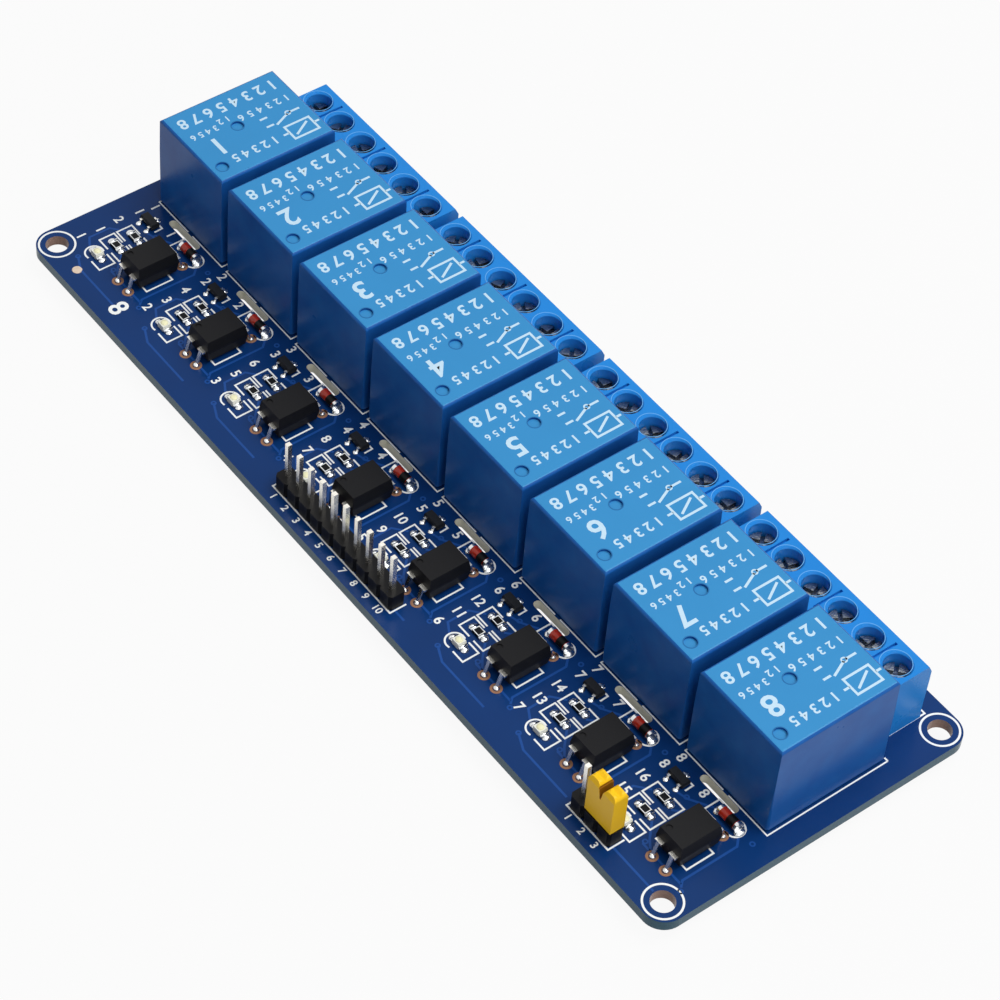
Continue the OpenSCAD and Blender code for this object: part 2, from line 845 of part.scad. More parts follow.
module header_10_strip() { header_strip(header_10_x, header_pins); }
module header_10_pins() { header_pins(header_10_x, header_pins); }
module header_3_strip() { header_strip(header_3_x, jumper_pins); }
module header_3_pins() { header_pins(header_3_x, jumper_pins); }

// ---- Jumper ----

// Moves its children to the jumper's foot, between the second and third pins
module at_jumper() {
    translate([header_3_x + pin_pitch / 2, header_y, board_t + strip_h + jumper_gap])
        children();
}

// Front view of the cap: two rounded ridges with a notch between them
module jumper_front() {
    half = jumper_l / 2;
    ridge_in = 1.15;
    ridge_out = half - ridge_r;
    ridge_z = jumper_h - ridge_r;
    notch_foot = 0.12;
    notch_mouth = 0.45;
    difference() {
        union() {
            translate([-half, 0])
                square([jumper_l, ridge_z]);
            for (x = [-1, 1]) {
                translate([x * ridge_out, ridge_z])
                    circle(ridge_r);
                translate([x * ridge_in, ridge_z])
                    circle(ridge_r);
                translate([(x * (ridge_in + ridge_out) - (ridge_out - ridge_in)) / 2, ridge_z - eps])
                    square([ridge_out - ridge_in, ridge_r + eps]);
            }
        }
        polygon([[-notch_foot, jumper_h - jumper_notch], [notch_foot, jumper_h - jumper_notch],
            [notch_mouth, jumper_h + eps], [-notch_mouth, jumper_h + eps]]);
    }
}

// Side view of the cap: bevelled shoulders and a shallow saddle along each ridge
module jumper_side() {
    half = jumper_w / 2;
    bevel_h = 0.7;
    bevel_w = 0.3;
    saddle_w = 0.5;
    saddle_d = 0.25;
    polygon([[-half, 0], [half, 0], [half, jumper_h - bevel_h], [half - bevel_w, jumper_h],
        [saddle_w, jumper_h], [0, jumper_h - saddle_d], [-saddle_w, jumper_h],
        [bevel_w - half, jumper_h], [-half, jumper_h - bevel_h]]);
}

module jumper_cap() {
    clip_w = pin_pitch + pin_s + 2 * clip_gap + 2 * clip_t;
    clip_l = pin_s + 2 * clip_gap + 2 * clip_t;
    color("#ffc220")
        at_jumper()
            difference() {
                intersection() {
                    along_y(jumper_w)
                        jumper_front();
                    along_x(jumper_l)
                        jumper_side();
                }
                post(clip_w, clip_l, -eps, clip_h + eps);
                for (x = [-1, 1])
                    translate([x * pin_pitch / 2, 0, 0])
                        post(pin_s + 2 * clip_gap, pin_s + 2 * clip_gap, 0, pin_in_cap + 0.1);
            }
}

// Sheet contact inside the cap: a folded channel that grips both pins
module jumper_clip() {
    clip_w = pin_pitch + pin_s + 2 * clip_gap + 2 * clip_t;
    clip_l = pin_s + 2 * clip_gap + 2 * clip_t;
    color("#cfa34a")
        at_jumper()
            difference() {
                post(clip_w, clip_l, 0.4, clip_h - 0.4);
                post(clip_w - 2 * clip_t, clip_l - 2 * clip_t, 0, clip_h + 1);
            }
}

// ---- Solder ----

// Solder cone under the board, round the lead that it holds
module solder_cone(d, w, l) {
    translate([0, 0, -solder_h])
        difference() {
            cylinder(h = solder_h, d1 = max(w, l) + solder_tip_d, d2 = d);
            post(w, l, -eps, solder_h + 2 * eps);
        }
}

module solder_joints() {
    relay_pad_d = 2.6;
    term_pad_d = 2.6;
    header_pad_d = 1.7;
    opto_pad_d = 1.6;
    color("#b9bcc0") {
        for (k = [1 : channels]) {
            translate([channel_x(k), relay_y, 0]) {
                translate([0, com_pin_y, 0]) solder_cone(relay_pad_d, strip_w, strip_t);
                for (x = [-1, 1], y = [coil_pin_y, throw_pin_y])
                    translate([x * side_pin_x, y, 0]) solder_cone(relay_pad_d, strip_w, strip_t);
            }
            translate([channel_x(k) + opto_at[0], opto_at[1], 0])
                for (x = [-1, 1], y = [-1, 1])
                    translate([x * opto_pitch / 2, y * opto_row / 2, 0])
                        solder_cone(opto_pad_d, lead_w, lead_t);
        }
        translate([0, leg_y, -board_t]) at_poles() solder_cone(term_pad_d, 1, leg_t);
        at_header(header_10_x, header_pins) solder_cone(header_pad_d, pin_s, pin_s);
        at_header(header_3_x, jumper_pins) solder_cone(header_pad_d, pin_s, pin_s);
    }
}

// ---- Nodes ----

circuit_board();
for (k = [1 : channels]) {
    relay_cover(k);
    relay_armature(k);
}
relay_bases();
relay_yokes();
relay_cores();
relay_bobbins();
relay_coils();
relay_common_terminals();
relay_open_terminals();
relay_closed_terminals();
relay_coil_pins();
for (b = [1 : blocks])
    terminal_block(b);
terminal_screws();
terminal_cages();
terminal_pins();
optocouplers();
optocoupler_leads();
chip_resistors();
leds();
transistors();
transistor_leads();
diodes();
diode_caps();
header_10_strip();
header_10_pins();
header_3_strip();
header_3_pins();
jumper_cap();
jumper_clip();
solder_joints();
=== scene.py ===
import bpy
import bmesh
import math
from mathutils import Matrix, Vector


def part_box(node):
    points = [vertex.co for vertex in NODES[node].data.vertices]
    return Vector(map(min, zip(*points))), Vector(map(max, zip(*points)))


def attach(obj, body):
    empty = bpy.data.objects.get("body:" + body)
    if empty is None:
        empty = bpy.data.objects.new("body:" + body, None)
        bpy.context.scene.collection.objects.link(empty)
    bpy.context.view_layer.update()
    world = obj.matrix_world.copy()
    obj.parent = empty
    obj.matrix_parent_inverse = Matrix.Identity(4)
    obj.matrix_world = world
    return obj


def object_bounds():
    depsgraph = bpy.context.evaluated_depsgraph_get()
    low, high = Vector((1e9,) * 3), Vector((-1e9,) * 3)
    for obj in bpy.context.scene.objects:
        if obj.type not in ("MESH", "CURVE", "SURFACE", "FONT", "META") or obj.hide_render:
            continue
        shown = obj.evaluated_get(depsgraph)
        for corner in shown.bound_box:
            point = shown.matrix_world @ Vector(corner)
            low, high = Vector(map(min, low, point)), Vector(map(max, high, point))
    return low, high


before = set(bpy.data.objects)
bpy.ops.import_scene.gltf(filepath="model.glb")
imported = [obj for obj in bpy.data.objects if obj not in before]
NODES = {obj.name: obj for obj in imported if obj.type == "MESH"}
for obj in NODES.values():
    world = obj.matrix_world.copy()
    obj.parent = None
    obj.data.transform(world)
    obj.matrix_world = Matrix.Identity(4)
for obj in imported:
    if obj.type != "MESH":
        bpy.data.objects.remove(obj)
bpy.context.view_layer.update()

# Lengths are in millimetres in the part's own frame, up to the stage at the end.
MM = 0.001
CHANNELS = 8                        # relays, each with its own small parts
PITCH = 16.6                        # from one relay to the next
BOARD_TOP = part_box("circuit_board")[1].z / MM
RELAY_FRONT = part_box("relay_cover_1")[0].y / MM
HOLE_X, HOLE_Y = 66.3, 22.2         # the mounting holes, from the board's middle

# Small parts of a channel: (across from its middle, depth in front of its relay)
RESISTORS = ((-3.25, 6.98), (-3.25, 9.985))
LED = (-3.3, 13.07)
DIODE = (3.85, 2.64)
OPTOCOUPLER = (3.7, 9.06)
TRANSISTOR_LEADS = ((-5.4, 4.9), (-3.5, 4.9), (-4.45, 2.5))

# Headers: middle, half the length of the printed outline, number of pins
HEADERS = ((-0.2, 12.9, 10), (52.8, 4.0, 3))
PIN_PITCH = 2.54

BLOCKS = 12                         # two-pole screw terminals
WELL_X, WELL_Y = 2.54, 17.95        # wells, from the middles of block and board
WELL_R = 2.06

DIMPLES = ((-0.6, -1.2), (5.0, -7.5))       # from the middle of a relay's top
DIMPLE_R = 0.93

INK = 0.02                          # thickness of printed ink
SILK_W = 0.24                       # width of a line printed on the board
RELAY_INK_W = 0.34                  # width of a line printed on a relay
SILK_SHIFT = 0.32                   # printed lines lie this far along from the parts
RELAY_LINE = 7.75                   # half the width of a relay's printed outline


def channel_x(k):
    return (k - (CHANNELS + 1) / 2) * PITCH


def spot(k, across, depth):
    """A place in channel k, as x and y on the board."""
    return channel_x(k) + across, RELAY_FRONT - depth


def middle(name):
    """The middle of a node, as x and y, and the height of its top."""
    lo, hi = (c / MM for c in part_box(name))
    return (lo.x + hi.x) / 2, (lo.y + hi.y) / 2, hi.z


# ---------------------------------------------------------------- camera
CAMERA_AT = (219.119, -187.712, 325.522)
CAMERA_AIM = (-2.153, 5.278, 0)     # a point on the axis of the lens
CAMERA_ROLL = 5.1039                # degrees
CAMERA_SHIFT = (0.00416, -0.04505)
SENSOR = 36
LENS = 119.355


def add_camera():
    """The photo's view, fitted to the part."""
    data = bpy.data.cameras.new("camera")
    data.sensor_width = SENSOR
    data.lens = LENS
    data.shift_x, data.shift_y = CAMERA_SHIFT
    data.clip_start = 0.01
    data.clip_end = 20
    cam = bpy.data.objects.new("camera", data)
    bpy.context.scene.collection.objects.link(cam)
    ahead = Vector(CAMERA_AIM) - Vector(CAMERA_AT)
    cam.matrix_world = (Matrix.Translation(Vector(CAMERA_AT) * MM)
                        @ ahead.to_track_quat("-Z", "Y").to_matrix().to_4x4()
                        @ Matrix.Rotation(math.radians(CAMERA_ROLL), 4, "Z"))
    bpy.context.scene.camera = cam


add_camera()


# ------------------------------------------------------------- materials
METAL_SPECULAR, SPECULAR = 0.5, 0.14
MIX_A, MIX_B, MIX_RESULT = 6, 7, 2          # the Mix node's colour sockets


def srgb(text):
    """A colour written as on screen, turned into the linear light of a shader."""
    out = []
    for i in (0, 2, 4):
        c = int(text[i:i + 2], 16) / 255
        out.append(c / 12.92 if c <= 0.04045 else ((c + 0.055) / 1.055) ** 2.4)
    return (*out, 1)


class Shader:
    """A Principled material whose colour, roughness and bump come from noise."""

    def __init__(self, name, colour, rough, metallic=0, vary=0.08, scale=600,
                 bump=0.1, depth=0.02, rough_vary=0.06, **sockets):
        self.material = bpy.data.materials.new(name)
        self.material.use_nodes = True
        self.tree = self.material.node_tree
        self.principled = self.tree.nodes["Principled BSDF"]
        base = srgb(colour)
        self.coord = self.tree.nodes.new("ShaderNodeTexCoord").outputs["Object"]
        noise = self.add("ShaderNodeTexNoise", Scale=scale, Detail=3)
        self.tree.links.new(self.coord, noise.inputs["Vector"])
        dark = [c * (1 - vary) for c in base[:3]] + [1]
        light = [min(1, c * (1 + vary)) for c in base[:3]] + [1]
        self.colour = self.mix(noise.outputs["Fac"], dark, light)
        self.tree.links.new(self.colour, self.principled.inputs["Base Color"])
        spread = self.add("ShaderNodeMapRange")
        spread.inputs["To Min"].default_value = max(0, rough - rough_vary)
        spread.inputs["To Max"].default_value = rough + rough_vary
        self.tree.links.new(noise.outputs["Fac"], spread.inputs["Value"])
        self.tree.links.new(spread.outputs["Result"], self.principled.inputs["Roughness"])
        if bump:
            fine = self.add("ShaderNodeTexNoise", Scale=scale * 4, Detail=2)
            self.tree.links.new(self.coord, fine.inputs["Vector"])
            dents = self.add("ShaderNodeBump", Strength=bump, Distance=depth * MM)
            self.tree.links.new(fine.outputs["Fac"], dents.inputs["Height"])
            self.tree.links.new(dents.outputs["Normal"], self.principled.inputs["Normal"])
        self.principled.inputs["Metallic"].default_value = metallic
        self.principled.inputs["Specular IOR Level"].default_value = (
            METAL_SPECULAR if metallic else SPECULAR)
        for key, value in sockets.items():
            self.principled.inputs[key.replace("_", " ")].default_value = value

    def add(self, kind, **values):
        n = self.tree.nodes.new(kind)
        for key, value in values.items():
            n.inputs[key].default_value = value
        return n

    def feed(self, socket, value):
        """Give a socket another node's output, or a constant."""
        if hasattr(value, "links"):
            self.tree.links.new(value, socket)
        else:
            socket.default_value = value

    def mix(self, factor, a, b):
        n = self.tree.nodes.new("ShaderNodeMix")
        n.data_type = "RGBA"
        self.tree.links.new(factor, n.inputs["Factor"])
        self.feed(n.inputs[MIX_A], a)
        self.feed(n.inputs[MIX_B], b)
        return n.outputs[MIX_RESULT]

    def math(self, operation, a, b=0):
        n = self.tree.nodes.new("ShaderNodeMath")
        n.operation = operation
        self.feed(n.inputs[0], a)
        self.feed(n.inputs[1], b)
        return n.outputs[0]

    def size(self, vector, axis):
        """How large one component of a vector is, whatever its sign."""
        split = self.tree.nodes.new("ShaderNodeSeparateXYZ")
        self.tree.links.new(vector, split.inputs[0])
        return self.math("ABSOLUTE", split.outputs[axis])

    def normal(self):
        return self.tree.nodes.new("ShaderNodeNewGeometry").outputs["True Normal"]

    def colour_from(self, socket):
        self.tree.links.new(socket, self.principled.inputs["Base Color"])


def seen(tree):
    """1 for what the camera, a reflection or clear glass sees, 0 for the rest."""
    path = tree.nodes.new("ShaderNodeLightPath")
    out = path.outputs["Is Camera Ray"]
    for ray in ("Is Glossy Ray", "Is Transmission Ray"):
        add = tree.nodes.new("ShaderNodeMath")
        add.operation = "MAXIMUM"
        tree.links.new(out, add.inputs[0])
        tree.links.new(path.outputs[ray], add.inputs[1])
        out = add.outputs[0]
    return out


def board_material():
    """Solder mask on the faces; bare laminate on the edges, slots and holes, with the slot
    walls brightened near-white as painted light.
    """
    near_hole, face_normal = 2, 0.6
    s = Shader("solder_mask", "0a346c", 0.24, scale=90, vary=0.2, bump=0.04, depth=0.01)
    face = s.math("GREATER_THAN", s.size(s.normal(), "Z"), face_normal)
    fibre = s.add("ShaderNodeTexNoise", Scale=2500, Detail=4)
    s.tree.links.new(s.coord, fibre.inputs["Vector"])
    grain = fibre.outputs["Fac"]
    edge = s.mix(grain, srgb("2a4a5c"), srgb("3f6677"))
    # Slot walls: partly the cream laminate's own colour, partly painted light, brightened
    # near-white as if light shone through.
    slot = s.mix(grain, srgb("e6e3cc"), srgb("fbf8ea"))
    hole = s.mix(grain, srgb("8d6f63"), srgb("b3978a"))
    x, y = (s.size(s.coord, axis) for axis in "XY")
    at_edge = s.math("MAXIMUM", s.math("GREATER_THAN", x, (HOLE_X - near_hole) * MM),
                     s.math("GREATER_THAN", y, (HOLE_Y - near_hole) * MM))
    off_x, off_y = (s.math("SUBTRACT", v, c * MM) for v, c in ((x, HOLE_X), (y, HOLE_Y)))
    off = s.math("SQRT", s.math("ADD", s.math("MULTIPLY", off_x, off_x),
                                s.math("MULTIPLY", off_y, off_y)))
    at_hole = s.math("LESS_THAN", off, near_hole * MM)
    walls = s.mix(at_hole, s.mix(at_edge, slot, edge), hole)
    s.colour_from(s.mix(face, walls, s.colour))
    return s


def jumper_material():
    """Yellow moulding, with painted shade: a darker orange inside the notch of its crown."""
    notch_half, front_normal, shade = 0.5, 0.5, 0.85
    s = Shader("jumper_yellow", "ffc822", 0.3, scale=700, vary=0.06)
    lo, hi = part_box("jumper_cap")
    from_middle = s.math("ABSOLUTE", s.math("SUBTRACT", s.size(s.coord, "X"),
                                            (lo.x + hi.x) / 2))
    inside = s.math("MINIMUM", s.math("LESS_THAN", from_middle, notch_half * MM),
                    s.math("LESS_THAN", s.size(s.normal(), "Y"), front_normal))
    # Painted shade: the notch's walls turn dark orange, as if less light reached them.
    notch_shade = s.math("MULTIPLY", inside, shade)
    s.colour_from(s.mix(notch_shade, s.colour, srgb("7a3c12")))
    return s


def relay_material():
    """Matt textured top; smooth sides painted a darker, mottled blue as painted shade."""
    top_normal = 0.95
    s = Shader("relay_blue", "3a8ec8", 0.3, scale=140, vary=0.05, bump=0.05, depth=0.01)
    top = s.math("GREATER_THAN", s.size(s.normal(), "Z"), top_normal)
    cloud = s.add("ShaderNodeTexNoise", Scale=260, Detail=3)
    s.tree.links.new(s.coord, cloud.inputs["Vector"])
    # Painted shade: the sides get a darker blue than the top, as if less light fell on them.
    side = s.mix(cloud.outputs["Fac"], srgb("124a96"), srgb("2068b4"))
    s.colour_from(s.mix(top, side, s.colour))
    return s


MATS = {
    "board": board_material(),
    "relay": relay_material(),
    # Painted shade: a darker blue for the shaded ring round each dimple on a relay's top.
    "dimple_shade": Shader("relay_shade", "2a70aa", 0.35, scale=900),
    "terminal": Shader("terminal_blue", "2486d8", 0.28, scale=200, vary=0.06,
                       bump=0.06, depth=0.01),
    # Painted highlight: a pale blue that stands in for the glare on each well's chamfered
    # edge.
    "rim": Shader("well_rim", "6fb2ea", 0.35, scale=900),
    "iron": Shader("relay_iron", "b4b4b0", 0.35, metallic=1),
    "base": Shader("relay_base", "15171b", 0.5),
    "bobbin": Shader("bobbin", "e2dcc8", 0.5),
    "winding": Shader("winding", "b5651d", 0.35, metallic=1, scale=1500, bump=0.4),
    "strip": Shader("contact_strip", "d2c8a4", 0.3, metallic=1),
    "screw": Shader("screw_steel", "8c9298", 0.24, metallic=1, scale=900,
                    bump=0.6, depth=0.05),
    "cage": Shader("cage_steel", "9aa0a6", 0.3, metallic=1, scale=900, bump=0.15),
    "pin": Shader("tinned_pin", "f0ede4", 0.25, metallic=1, scale=1200, bump=0.1),
    "solder": Shader("solder", "dfe1e2", 0.22, metallic=1, scale=1400,
                     bump=0.35, depth=0.03),
    "pad": Shader("copper_pad", "9c7358", 0.4, scale=1600, vary=0.15),
    "mark": Shader("bare_copper_mark", "e0cbb6", 0.4, scale=1600, vary=0.1),
    "epoxy": Shader("epoxy_black", "121214", 0.45, scale=3500, vary=0.25, bump=0.2),
    "sot": Shader("sot_black", "1d1f23", 0.45, scale=3500, vary=0.2, bump=0.2),
    "resistor": Shader("resistor_body", "0d0e11", 0.32, scale=2500, vary=0.3),
    "led": Shader("led_body", "ecece0", 0.3, scale=1500, vary=0.04),
    "lens": Shader("led_lens", "f6f2c8", 0.12, scale=1500, vary=0.04, bump=0),
    "glass": Shader("diode_glass", "b02a16", 0.1, scale=1800, vary=0.3, bump=0,
                    Coat_Weight=0.5),
    "band": Shader("diode_band", "101012", 0.3),
    "plastic": Shader("header_black", "0c0c0e", 0.36, scale=1600, bump=0.15),
    "jumper": jumper_material(),
    "bronze": Shader("jumper_bronze", "c8963e", 0.3, metallic=1),
    "silk": Shader("silkscreen", "f6f8f6", 0.55, scale=3000, vary=0.03, bump=0.2),
    "print": Shader("relay_print", "c4e0f2", 0.5, scale=3000, vary=0.06, bump=0.1),
    "trace": Shader("masked_trace", "1d4b92", 0.24, scale=160, vary=0.15, bump=0.03),
}

DRESS = {"circuit_board": "board", "relay_bases": "base", "relay_yokes": "iron",
         "relay_cores": "iron", "relay_bobbins": "bobbin", "relay_coils": "winding",
         "relay_common_terminals": "strip", "relay_open_terminals": "strip",
         "relay_closed_terminals": "strip", "relay_coil_pins": "strip",
         "terminal_screws": "screw", "terminal_cages": "cage",
         "terminal_pins": "pin", "optocouplers": "epoxy", "optocoupler_leads": "pin",
         "chip_resistors": "resistor", "leds": "led", "transistors": "sot",
         "transistor_leads": "pin", "diodes": "glass", "diode_caps": "solder",
         "header_10_strip": "plastic", "header_3_strip": "plastic",
         "header_10_pins": "pin", "header_3_pins": "pin", "jumper_cap": "jumper",
         "jumper_clip": "bronze", "solder_joints": "solder"}
for name, node in NODES.items():
    key = DRESS.get(name)
    if key is None:
        key = ("relay" if name.startswith("relay_cover") else
               "iron" if name.startswith("relay_armature") else "terminal")
    node.data.materials.clear()
    node.data.materials.append(MATS[key].material)


# ---------------------------------------------------------------- pieces
def bow(x, y, r, start, end, steps=16):
    """Points on an arc, from one angle to another in degrees."""
    angles = [math.radians(start + (end - start) * i / steps) for i in range(steps + 1)]
    return [(x + r * math.cos(a), y + r * math.sin(a)) for a in angles]


class Piece:
    """Closed prisms and domes gathered into one mesh. Sizes in millimetres."""

    def __init__(self, name, material, slot, body="board"):
        self.bm = bmesh.new()
        self.name, self.shader, self.slot, self.body = name, MATS[material], slot, body

    def prism(self, points, z, height):
        """An outline raised to a height. Returns its corners."""
        low = [self.bm.verts.new((x, y, z)) for x, y in points]
        top = [self.bm.verts.new((x, y, z + height)) for x, y in points]
        n = len(points)
        self.bm.faces.new(top)
        self.bm.faces.new(low[::-1])
        for i in range(n):
            j = (i + 1) % n
            self.bm.faces.new((low[i], low[j], top[j], top[i]))
        return low + top

    def box(self, x, y, sx, sy, z, height):
        self.prism([(x - sx / 2, y - sy / 2), (x + sx / 2, y - sy / 2),
                    (x + sx / 2, y + sy / 2), (x - sx / 2, y + sy / 2)], z, height)

    def line(self, points, width=SILK_W, z=BOARD_TOP, height=INK):
        """One mitred strip along the points; a ring where the last is the first."""
        ring = math.dist(points[0], points[-1]) < 1e-6
        pts = [Vector(p) for p in (points[:-1] if ring else points)]
        n, h = len(pts), width / 2
        steps = [(pts[(i + 1) % n] - pts[i]).normalized() for i in range(n)]
        rows = []
        for i, p in enumerate(pts):
            before = steps[i - 1] if ring or i else steps[0]
            after = steps[i] if ring or i < n - 1 else steps[n - 2]
            across = Vector((-before.y - after.y, before.x + after.x)).normalized()
            reach = h / across.dot(Vector((-before.y, before.x)))
            rows.append([self.bm.verts.new((*(p + across * side * reach), zz))
                         for side, zz in ((-1, z), (1, z), (1, z + height), (-1, z + height))])
        for i in range(n if ring else n - 1):
            a, b = rows[i], rows[(i + 1) % n]
            for j in range(4):
                k = (j + 1) % 4
                self.bm.faces.new((a[j], a[k], b[k], b[j]))
        if not ring:
            self.bm.faces.new(rows[0])
            self.bm.faces.new(rows[-1][::-1])

    def ring(self, x, y, r, width=SILK_W, z=BOARD_TOP, steps=64):
        points = bow(x, y, r, 0, 360, steps)
        self.line(points[:-1] + points[:1], width, z)

    def dome(self, x, y, rx, ry, z, height, sides=16, rings=4):
        """A low blob of solder or resin, closed underneath."""
        loops = []
        for j in range(rings):
            a = math.pi / 2 * j / rings
            loops.append([self.bm.verts.new(
                (x + rx * math.cos(a) * math.cos(t), y + ry * math.cos(a) * math.sin(t),
                 z + height * math.sin(a)))
                for t in (2 * math.pi * i / sides for i in range(sides))])
        tip = self.bm.verts.new((x, y, z + height))
        self.bm.faces.new(loops[0][::-1])
        for low, high in zip(loops, loops[1:]):
            for i in range(sides):
                j = (i + 1) % sides
                self.bm.faces.new((low[i], low[j], high[j], high[i]))
        for i in range(sides):
            self.bm.faces.new((loops[-1][i], loops[-1][(i + 1) % sides], tip))

    def number(self, text, x, y, size, z=BOARD_TOP, turn=0):
        """A plain number, a little heavier than the font draws it."""
        heavier = 0.018
        curve = bpy.data.curves.new("digits", "FONT")
        curve.body = str(text)
        curve.size = size
        curve.extrude = INK / 2
        curve.offset = size * heavier
        curve.align_x, curve.align_y = "CENTER", "CENTER"
        curve.resolution_u = 3
        o = bpy.data.objects.new("digits", curve)
        bpy.context.scene.collection.objects.link(o)
        bpy.context.view_layer.update()
        mesh = bpy.data.meshes.new_from_object(
            o.evaluated_get(bpy.context.evaluated_depsgraph_get()))
        mesh.transform(Matrix.Translation((x, y, z + INK / 2))
                       @ Matrix.Rotation(math.radians(turn), 4, "Z"))
        self.bm.from_mesh(mesh)
        bpy.data.objects.remove(o)
        bpy.data.curves.remove(curve)
        bpy.data.meshes.remove(mesh)

    def done(self, smooth=False):
        """Turn what was gathered into an object that rides on its body."""
        for v in self.bm.verts:
            v.co *= MM
        bmesh.ops.recalc_face_normals(self.bm, faces=self.bm.faces)
        mesh = bpy.data.meshes.new(self.name)
        self.bm.to_mesh(mesh)
        self.bm.free()
        mesh.materials.append(self.shader.material)
        for p in mesh.polygons:
            p.use_smooth = smooth
        o = bpy.data.objects.new(self.name, mesh)
        bpy.context.scene.collection.objects.link(o)
        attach(o, self.body)


def channel_lines():
    """The printed outlines of one channel, each a width and (across, depth) points."""
    relay_back, relay_line_w = -19.3, 0.2
    for side in (-1, 1):
        yield relay_line_w, [(side * 0.5, 0.2), (side * RELAY_LINE, 0.2),
                             (side * RELAY_LINE, relay_back)]
    diode = [(2.4, 1.45), (0.35, 1.45), (0.35, 3.9), (2.4, 3.9)]
    diode_end = [(4.3, 4.0), *bow(4.7, 2.7, 1.3, 90, -90), (4.3, 1.45)]
    optocoupler = [(4.75, 11.35), (6.0, 11.35), (6.0, 7.15), (4.7, 7.15)]
    optocoupler_end = [(0.9, 11.35), (0.9, 7.15)]
    chips = []
    for near, far in ((8.4, 5.95), (11.25, 8.85)):
        chips.append([(-3.85, far), (-6.0, far), (-6.0, near), (-3.85, near)])
        chips.append([(-2.98, far), (-1.0, far), (-1.0, near), (-2.98, near)])
    led = [(-3.1, 11.9), (-1.05, 11.9), (-1.05, 14.4), (-3.1, 14.4)]
    led_end = [(-3.85, 11.9), *bow(-4.3, 13.15, 1.3, -90, -270), (-3.85, 14.4)]
    transistor = [(-3.85, 2.8), (-3.1, 2.8), (-3.05, 4.1)]
    transistor_end = [(-5.1, 2.3), (-4.3, 2.4)]
    for points in (diode, diode_end, optocoupler, optocoupler_end, *chips,
                   led, led_end, transistor, transistor_end):
        yield SILK_W, points


def channel_numbers(k):
    """The numbers beside the small parts of channel k: value, across, depth."""
    return ((k, -6.85, 1.3), (k, -7.35, 3.6), (2 * k, -7.6, 6.85),
            (2 * k - 1, -7.4, 10.0), (k, -7.8, 12.9), (k, -1.1, 2.5))


def header_print(silk):
    """An open outline round each header, and its pin numbers."""
    back, front, number_y, number_size = -20.4, -22.95, -23.9, 1.5
    for x, half, pins in HEADERS:
        silk.line([(x - half, back), (x - half, front), (x + half, front), (x + half, back)])
        for i in range(pins):
            silk.number(i + 1, x + (i - (pins - 1) / 2) * PIN_PITCH, number_y, number_size)


def board_print():
    """White lines and plain numbers on the board."""
    ring_r, ring_w, number_size = 2.5, 0.28, 2
    count_x, count_y, count_size = 6.8, -22.05, 4           # the count of channels
    silk = Piece("board_print", "silk", "solder_mask_board")
    for sx in (-1, 1):
        for sy in (-1, 1):
            silk.ring(sx * HOLE_X, sy * HOLE_Y, ring_r, ring_w)
    for k in range(1, CHANNELS + 1):
        for width, points in channel_lines():
            silk.line([spot(k, a + SILK_SHIFT, d) for a, d in points], width)
        for value, a, d in channel_numbers(k):
            silk.number(value, *spot(k, a, d), number_size)
    silk.number(CHANNELS, channel_x(1) + count_x, count_y, count_size)
    header_print(silk)
    silk.line([(63.3, 16.3), (63.3, 22.35), (62.6, 22.35)])     # beside the last block
    last = channel_x(CHANNELS) + SILK_SHIFT + RELAY_LINE        # beside the last relay
    silk.line([(last, 13.6), (last - 0.6, 13.6)])
    silk.done()


# A relay's changeover symbol: strokes of (along, up) points as it is read
COIL = ([(-7.9, 3.2), (-3.9, 3.2), (-3.9, 5.9), (-7.9, 5.9), (-7.9, 3.2)],
        [(-7.2, 3.8), (-4.6, 5.3)], [(-8.8, 4.5), (-8.0, 4.5)], [(-3.8, 4.5), (-2.9, 4.5)])
CONTACTS = ([(-7.9, 1.0), (-6.2, 1.0)], [(-5.9, 1.1), (-3.4, 2.2)],
            [(-3.1, 0.2), (-1.9, 0.2)], [(-3.1, 1.9), (-1.9, 1.9)])
PIVOT = (-6.0, 1.0)
READ_TURN = -90         # the print is read from the relay's -X side


def relay_numbers(k):
    """The rows of plain numbers on relay k: value, along, up, size."""
    # Each row: its numbers, the first one's place, the step along, up, size
    rows = ((range(1, 6), -1.4, 1.6, 4.5, 2.1), ((k,), 5.6, 0, 1.2, 4.6),
            (range(1, 7), -7.6, 1.5, -1.7, 1.7), (range(1, 3), 1.6, 1.2, -2.6, 1.5),
            (range(3, 7), 4.0, 1.2, -1.9, 1.5), (range(1, 9), -7.4, 2.1, -5.0, 2.7))
    for values, start, step, up, size in rows:
        for i, value in enumerate(values):
            yield value, start + i * step, up, size


def relay_print():
    """A plain symbol and plain numbers on each relay, and a painted shade ring round each of
    its dimples.
    """
    pivot_r, pivot_w, painted_ring_w = 0.35, 0.22, 0.14
    # Painted shade: a dark ring round each dimple.
    painted_rings = Piece("relay_dimple_shade_rings", "dimple_shade", "relay_cover_blue")
    for k in range(1, CHANNELS + 1):
        x, y, top = middle(f"relay_cover_{k}")
        ink = Piece(f"relay_print_{k}", "print", "relay_cover_blue")
        for stroke in (*COIL, *CONTACTS):
            ink.line([(x + up, y - along) for along, up in stroke], RELAY_INK_W, top)
        ink.ring(x + PIVOT[1], y - PIVOT[0], pivot_r, pivot_w, top, 24)
        for value, along, up, size in relay_numbers(k):
            ink.number(value, x + up, y - along, size, top, READ_TURN)
        ink.done()
        for dx, dy in DIMPLES:
            painted_rings.ring(x + dx, y + dy, DIMPLE_R, painted_ring_w, top, 32)
    painted_rings.done()


